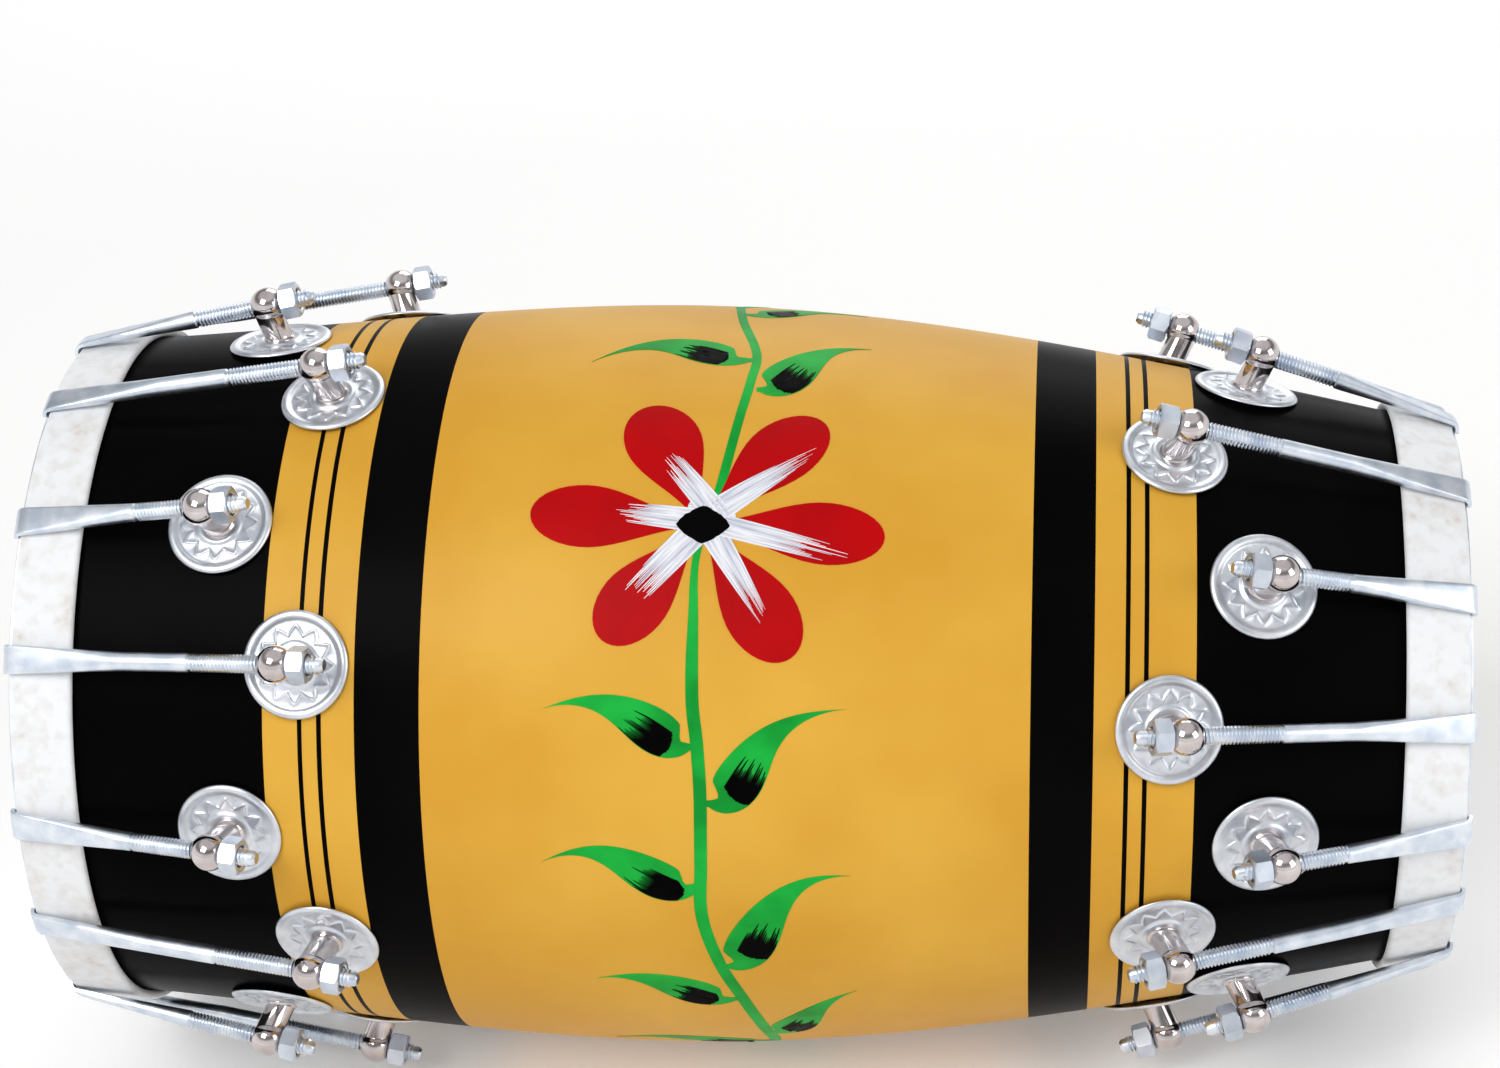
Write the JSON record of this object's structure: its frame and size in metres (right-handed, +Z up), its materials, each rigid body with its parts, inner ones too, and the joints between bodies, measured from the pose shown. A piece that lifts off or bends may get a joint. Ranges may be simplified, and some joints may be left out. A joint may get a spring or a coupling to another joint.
{
  "type": "dholak hand drum",
  "caption": "Two-headed barrel drum with painted wooden shell, rawhide heads lapped on iron hoops, and tuning hooks drawn by hex nuts through ball-headed eye posts.",
  "frame": {"origin": "middle of the bounding box on the surface that the drum lies on", "axes": "+X along the drum from the bass end to the treble end, +Y to the back, +Z up"},
  "size_m": [0.5072, 0.2982, 0.2968],
  "materials": {
    "painted_wood": "gloss paint in mustard yellow and black",
    "rawhide": "matt off-white rawhide",
    "zinc_plated_steel": "bright bluish zinc plate",
    "chrome_plate": "polished chrome",
    "tuning_paste": "matt black paste"
  },
  "bodies": {
    "shell": {"shell": "painted_wood", "bass_eye_post_01": "chrome_plate", "bass_eye_post_02": "chrome_plate", "bass_eye_post_03": "chrome_plate", "bass_eye_post_04": "chrome_plate", "bass_eye_post_05": "chrome_plate", "bass_eye_post_06": "chrome_plate", "bass_eye_post_07": "chrome_plate", "bass_eye_post_08": "chrome_plate", "bass_eye_post_09": "chrome_plate", "bass_eye_post_10": "chrome_plate", "bass_eye_post_11": "chrome_plate", "bass_eye_post_12": "chrome_plate", "bass_eye_post_13": "chrome_plate", "bass_eye_post_14": "chrome_plate", "bass_eye_post_15": "chrome_plate", "bass_eye_post_16": "chrome_plate"},
    "bass_head": {"bass_hoop_and_hooks": "zinc_plated_steel", "bass_skin": "rawhide", "bass_tuning_paste": "tuning_paste"},
    "treble_head": {"treble_hoop_and_hooks": "zinc_plated_steel", "treble_skin": "rawhide"},
    "bass_nut_01": {"bass_nut_01": "zinc_plated_steel"},
    "bass_nut_02": {"bass_nut_02": "zinc_plated_steel"},
    "bass_nut_03": {"bass_nut_03": "zinc_plated_steel"},
    "bass_nut_04": {"bass_nut_04": "zinc_plated_steel"},
    "bass_nut_05": {"bass_nut_05": "zinc_plated_steel"},
    "bass_nut_06": {"bass_nut_06": "zinc_plated_steel"},
    "bass_nut_07": {"bass_nut_07": "zinc_plated_steel"},
    "bass_nut_08": {"bass_nut_08": "zinc_plated_steel"},
    "bass_nut_09": {"bass_nut_09": "zinc_plated_steel"},
    "bass_nut_10": {"bass_nut_10": "zinc_plated_steel"},
    "bass_nut_11": {"bass_nut_11": "zinc_plated_steel"},
    "bass_nut_12": {"bass_nut_12": "zinc_plated_steel"},
    "bass_nut_13": {"bass_nut_13": "zinc_plated_steel"},
    "bass_nut_14": {"bass_nut_14": "zinc_plated_steel"},
    "bass_nut_15": {"bass_nut_15": "zinc_plated_steel"},
    "bass_nut_16": {"bass_nut_16": "zinc_plated_steel"},
    "treble_nut_01": {"treble_nut_01": "zinc_plated_steel"},
    "treble_nut_02": {"treble_nut_02": "zinc_plated_steel"},
    "treble_nut_03": {"treble_nut_03": "zinc_plated_steel"},
    "treble_nut_04": {"treble_nut_04": "zinc_plated_steel"},
    "treble_nut_05": {"treble_nut_05": "zinc_plated_steel"},
    "treble_nut_06": {"treble_nut_06": "zinc_plated_steel"},
    "treble_nut_07": {"treble_nut_07": "zinc_plated_steel"},
    "treble_nut_08": {"treble_nut_08": "zinc_plated_steel"},
    "treble_nut_09": {"treble_nut_09": "zinc_plated_steel"},
    "treble_nut_10": {"treble_nut_10": "zinc_plated_steel"},
    "treble_nut_11": {"treble_nut_11": "zinc_plated_steel"},
    "treble_nut_12": {"treble_nut_12": "zinc_plated_steel"},
    "treble_nut_13": {"treble_nut_13": "zinc_plated_steel"},
    "treble_nut_14": {"treble_nut_14": "zinc_plated_steel"},
    "treble_nut_15": {"treble_nut_15": "zinc_plated_steel"},
    "treble_nut_16": {"treble_nut_16": "zinc_plated_steel"}
  },
  "joints": [
    {"name": "bass_head_slide", "type": "slide", "parent": "shell", "child": "bass_head", "axis": [-0.999, -0.0002, 0.0454], "range_m": [0, 0.00159]},
    {"name": "bass_nut_01_turn", "type": "hinge", "parent": "shell", "child": "bass_nut_01", "pos_m": [-0.14184, -0.13916, 0.10695], "axis": [0.9822, -0.1639, -0.0919], "range_deg": [0, 450]},
    {"name": "bass_nut_02_turn", "type": "hinge", "parent": "shell", "child": "bass_nut_02", "pos_m": [-0.16867, -0.14196, 0.15885], "axis": [0.9791, -0.2014, -0.0295], "range_deg": [0, 450]},
    {"name": "bass_nut_03_turn", "type": "hinge", "parent": "shell", "child": "bass_nut_03", "pos_m": [-0.14035, -0.12382, 0.22168], "axis": [0.9879, -0.1487, 0.0448], "range_deg": [0, 450]},
    {"name": "bass_nut_04_turn", "type": "hinge", "parent": "shell", "child": "bass_nut_04", "pos_m": [-0.16882, -0.08553, 0.26181], "axis": [0.9844, -0.1263, 0.1229], "range_deg": [0, 450]},
    {"name": "bass_nut_05_turn", "type": "hinge", "parent": "shell", "child": "bass_nut_05", "pos_m": [-0.13575, -0.03214, 0.28812], "axis": [0.9916, -0.0382, 0.1233], "range_deg": [0, 450]},
    {"name": "bass_nut_06_turn", "type": "hinge", "parent": "shell", "child": "bass_nut_06", "pos_m": [-0.16448, 0.0185, 0.28942], "axis": [0.987, 0.0267, 0.1584], "range_deg": [0, 450]},
    {"name": "bass_nut_07_turn", "type": "hinge", "parent": "shell", "child": "bass_nut_07", "pos_m": [-0.13024, 0.0829, 0.26616], "axis": [0.9911, 0.0956, 0.0928], "range_deg": [0, 450]},
    {"name": "bass_nut_08_turn", "type": "hinge", "parent": "shell", "child": "bass_nut_08", "pos_m": [-0.16753, 0.12136, 0.22288], "axis": [0.9826, 0.1747, 0.0627], "range_deg": [0, 450]},
    {"name": "bass_nut_09_turn", "type": "hinge", "parent": "shell", "child": "bass_nut_09", "pos_m": [-0.13998, 0.14251, 0.17365], "axis": [0.9855, 0.169, -0.0132], "range_deg": [0, 450]},
    {"name": "bass_nut_10_turn", "type": "hinge", "parent": "shell", "child": "bass_nut_10", "pos_m": [-0.17208, 0.14008, 0.12272], "axis": [0.9761, 0.2016, -0.0814], "range_deg": [0, 450]},
    {"name": "bass_nut_11_turn", "type": "hinge", "parent": "shell", "child": "bass_nut_11", "pos_m": [-0.14461, 0.12372, 0.07165], "axis": [0.98, 0.1467, -0.1341], "range_deg": [0, 450]},
    {"name": "bass_nut_12_turn", "type": "hinge", "parent": "shell", "child": "bass_nut_12", "pos_m": [-0.17602, 0.08689, 0.03577], "axis": [0.9704, 0.1251, -0.2065], "range_deg": [0, 450]},
    {"name": "bass_nut_13_turn", "type": "hinge", "parent": "shell", "child": "bass_nut_13", "pos_m": [-0.14751, 0.03779, 0.00737], "axis": [0.9766, 0.0449, -0.2103], "range_deg": [0, 450]},
    {"name": "bass_nut_14_turn", "type": "hinge", "parent": "shell", "child": "bass_nut_14", "pos_m": [-0.17728, -0.01828, 0.00747], "axis": [0.9686, -0.0262, -0.2472], "range_deg": [0, 450]},
    {"name": "bass_nut_15_turn", "type": "hinge", "parent": "shell", "child": "bass_nut_15", "pos_m": [-0.14568, -0.06212, 0.01623], "axis": [0.9774, -0.073, -0.1986], "range_deg": [0, 450]},
    {"name": "bass_nut_16_turn", "type": "hinge", "parent": "shell", "child": "bass_nut_16", "pos_m": [-0.17231, -0.10537, 0.05252], "axis": [0.9726, -0.148, -0.1791], "range_deg": [0, 450]},
    {"name": "treble_head_slide", "type": "slide", "parent": "shell", "child": "treble_head", "axis": [0.999, 0.0002, -0.0454], "range_m": [0, 0.00159]},
    {"name": "treble_nut_01_turn", "type": "hinge", "parent": "shell", "child": "treble_nut_01", "pos_m": [0.14425, -0.12534, 0.09554], "axis": [-0.9597, -0.2779, -0.0418], "range_deg": [0, 450]},
    {"name": "treble_nut_02_turn", "type": "hinge", "parent": "shell", "child": "treble_nut_02", "pos_m": [0.17977, -0.12471, 0.13563], "axis": [-0.9395, -0.3388, 0.0511], "range_deg": [0, 450]},
    {"name": "treble_nut_03_turn", "type": "hinge", "parent": "shell", "child": "treble_nut_03", "pos_m": [0.14852, -0.12072, 0.18513], "axis": [-0.9506, -0.2679, 0.1565], "range_deg": [0, 450]},
    {"name": "treble_nut_04_turn", "type": "hinge", "parent": "shell", "child": "treble_nut_04", "pos_m": [0.18162, -0.08398, 0.22544], "axis": [-0.9302, -0.2247, 0.2902], "range_deg": [0, 450]},
    {"name": "treble_nut_05_turn", "type": "hinge", "parent": "shell", "child": "treble_nut_05", "pos_m": [0.15346, -0.03914, 0.25877], "axis": [-0.9427, -0.088, 0.322], "range_deg": [0, 450]},
    {"name": "treble_nut_06_turn", "type": "hinge", "parent": "shell", "child": "treble_nut_06", "pos_m": [0.18008, 0.02233, 0.2566], "axis": [-0.9287, 0.0576, 0.3662], "range_deg": [0, 450]},
    {"name": "treble_nut_07_turn", "type": "hinge", "parent": "shell", "child": "treble_nut_07", "pos_m": [0.15314, 0.07172, 0.24347], "axis": [-0.9441, 0.1598, 0.2883], "range_deg": [0, 450]},
    {"name": "treble_nut_08_turn", "type": "hinge", "parent": "shell", "child": "treble_nut_08", "pos_m": [0.17933, 0.1085, 0.19609], "axis": [-0.9346, 0.2867, 0.2108], "range_deg": [0, 450]},
    {"name": "treble_nut_09_turn", "type": "hinge", "parent": "shell", "child": "treble_nut_09", "pos_m": [0.14767, 0.12902, 0.15875], "axis": [-0.9533, 0.2857, 0.0983], "range_deg": [0, 450]},
    {"name": "treble_nut_10_turn", "type": "hinge", "parent": "shell", "child": "treble_nut_10", "pos_m": [0.17555, 0.12414, 0.11278], "axis": [-0.9446, 0.3281, -0.0099], "range_deg": [0, 450]},
    {"name": "treble_nut_11_turn", "type": "hinge", "parent": "shell", "child": "treble_nut_11", "pos_m": [0.14367, 0.11501, 0.07064], "axis": [-0.9622, 0.2546, -0.0973], "range_deg": [0, 450]},
    {"name": "treble_nut_12_turn", "type": "hinge", "parent": "shell", "child": "treble_nut_12", "pos_m": [0.17217, 0.08284, 0.03827], "axis": [-0.9535, 0.2187, -0.2073], "range_deg": [0, 450]},
    {"name": "treble_nut_13_turn", "type": "hinge", "parent": "shell", "child": "treble_nut_13", "pos_m": [0.14102, 0.048, 0.01198], "axis": [-0.968, 0.1059, -0.2274], "range_deg": [0, 450]},
    {"name": "treble_nut_14_turn", "type": "hinge", "parent": "shell", "child": "treble_nut_14", "pos_m": [0.17079, -0.00228, 0.00728], "axis": [-0.9572, -0.0067, -0.2894], "range_deg": [0, 450]},
    {"name": "treble_nut_15_turn", "type": "hinge", "parent": "shell", "child": "treble_nut_15", "pos_m": [0.14027, -0.06377, 0.01941], "axis": [-0.9675, -0.1414, -0.2096], "range_deg": [0, 450]},
    {"name": "treble_nut_16_turn", "type": "hinge", "parent": "shell", "child": "treble_nut_16", "pos_m": [0.17053, -0.09664, 0.05226], "axis": [-0.9531, -0.2525, -0.167], "range_deg": [0, 450]}
  ],
  "couplings": [
    {"joint": "bass_nut_01_turn", "follows": "bass_head_slide", "rad_per_m": 4947.4},
    {"joint": "bass_nut_02_turn", "follows": "bass_head_slide", "rad_per_m": 4947.4},
    {"joint": "bass_nut_03_turn", "follows": "bass_head_slide", "rad_per_m": 4947.4},
    {"joint": "bass_nut_04_turn", "follows": "bass_head_slide", "rad_per_m": 4947.4},
    {"joint": "bass_nut_05_turn", "follows": "bass_head_slide", "rad_per_m": 4947.4},
    {"joint": "bass_nut_06_turn", "follows": "bass_head_slide", "rad_per_m": 4947.4},
    {"joint": "bass_nut_07_turn", "follows": "bass_head_slide", "rad_per_m": 4947.4},
    {"joint": "bass_nut_08_turn", "follows": "bass_head_slide", "rad_per_m": 4947.4},
    {"joint": "bass_nut_09_turn", "follows": "bass_head_slide", "rad_per_m": 4947.4},
    {"joint": "bass_nut_10_turn", "follows": "bass_head_slide", "rad_per_m": 4947.4},
    {"joint": "bass_nut_11_turn", "follows": "bass_head_slide", "rad_per_m": 4947.4},
    {"joint": "bass_nut_12_turn", "follows": "bass_head_slide", "rad_per_m": 4947.4},
    {"joint": "bass_nut_13_turn", "follows": "bass_head_slide", "rad_per_m": 4947.4},
    {"joint": "bass_nut_14_turn", "follows": "bass_head_slide", "rad_per_m": 4947.4},
    {"joint": "bass_nut_15_turn", "follows": "bass_head_slide", "rad_per_m": 4947.4},
    {"joint": "bass_nut_16_turn", "follows": "bass_head_slide", "rad_per_m": 4947.4},
    {"joint": "treble_nut_01_turn", "follows": "treble_head_slide", "rad_per_m": 4947.4},
    {"joint": "treble_nut_02_turn", "follows": "treble_head_slide", "rad_per_m": 4947.4},
    {"joint": "treble_nut_03_turn", "follows": "treble_head_slide", "rad_per_m": 4947.4},
    {"joint": "treble_nut_04_turn", "follows": "treble_head_slide", "rad_per_m": 4947.4},
    {"joint": "treble_nut_05_turn", "follows": "treble_head_slide", "rad_per_m": 4947.4},
    {"joint": "treble_nut_06_turn", "follows": "treble_head_slide", "rad_per_m": 4947.4},
    {"joint": "treble_nut_07_turn", "follows": "treble_head_slide", "rad_per_m": 4947.4},
    {"joint": "treble_nut_08_turn", "follows": "treble_head_slide", "rad_per_m": 4947.4},
    {"joint": "treble_nut_09_turn", "follows": "treble_head_slide", "rad_per_m": 4947.4},
    {"joint": "treble_nut_10_turn", "follows": "treble_head_slide", "rad_per_m": 4947.4},
    {"joint": "treble_nut_11_turn", "follows": "treble_head_slide", "rad_per_m": 4947.4},
    {"joint": "treble_nut_12_turn", "follows": "treble_head_slide", "rad_per_m": 4947.4},
    {"joint": "treble_nut_13_turn", "follows": "treble_head_slide", "rad_per_m": 4947.4},
    {"joint": "treble_nut_14_turn", "follows": "treble_head_slide", "rad_per_m": 4947.4},
    {"joint": "treble_nut_15_turn", "follows": "treble_head_slide", "rad_per_m": 4947.4},
    {"joint": "treble_nut_16_turn", "follows": "treble_head_slide", "rad_per_m": 4947.4}
  ]
}
